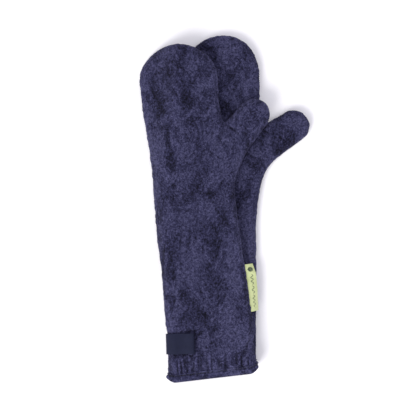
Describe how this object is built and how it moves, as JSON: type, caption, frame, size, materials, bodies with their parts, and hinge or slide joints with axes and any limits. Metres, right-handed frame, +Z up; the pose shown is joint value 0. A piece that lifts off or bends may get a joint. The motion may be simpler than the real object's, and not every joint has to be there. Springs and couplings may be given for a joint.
{
  "type": "drying mitt pair",
  "caption": "Pair of long lined towelling mitts with a thumb, turned cuffs, hang loops and a side label, laid flat one over the other.",
  "frame": {"origin": "centre of the pair's outline, on the surface that the pair lies on", "axes": "+Y from the cuffs to the finger tips, +Z up, +X towards the thumbs"},
  "size_m": [0.2741, 0.5649, 0.0497],
  "materials": {
    "towelling": "navy terry towelling",
    "lining": "navy terry towelling, inside",
    "thread": "dark navy sewing thread",
    "webbing": "navy herringbone webbing",
    "label": "woven yellow-green label"
  },
  "bodies": {
    "lower_mitt": {"lower_outer_face": "towelling", "lower_outer_back": "towelling", "lower_lining_face": "lining", "lower_lining_back": "lining", "lower_edge_seam": "thread", "lower_lining_seam": "thread", "lower_cuff_hem": "towelling", "lower_hem_stitching": "thread"},
    "upper_mitt": {"upper_outer_face": "towelling", "upper_outer_back": "towelling", "upper_lining_face": "lining", "upper_lining_back": "lining", "upper_edge_seam": "thread", "upper_lining_seam": "thread", "upper_cuff_hem": "towelling", "upper_hem_stitching": "thread"},
    "upper_hang_loop": {"upper_hang_loop": "webbing"},
    "upper_label": {"upper_label": "label"},
    "lower_hang_loop": {"lower_hang_loop": "webbing"}
  },
  "joints": [
    {"name": "upper_mitt_lift", "type": "slide", "parent": "lower_mitt", "child": "upper_mitt", "axis": [0, 0, 1], "range_m": [0, 0.15]},
    {"name": "upper_loop_swing", "type": "hinge", "parent": "upper_mitt", "child": "upper_hang_loop", "pos_m": [-0.09295, -0.22018, 0.0304], "axis": [0.0919, -0.9958, 0], "range_deg": [0, 150]},
    {"name": "upper_label_swing", "type": "hinge", "parent": "upper_mitt", "child": "upper_label", "pos_m": [0.03779, -0.12855, 0.0304], "axis": [0.1379, -0.9904, 0], "range_deg": [0, 95]},
    {"name": "lower_loop_swing", "type": "hinge", "parent": "lower_mitt", "child": "lower_hang_loop", "pos_m": [-0.08719, -0.1998, 0.01], "axis": [0.0232, 0.9997, 0], "range_deg": [0, 150]}
  ]
}
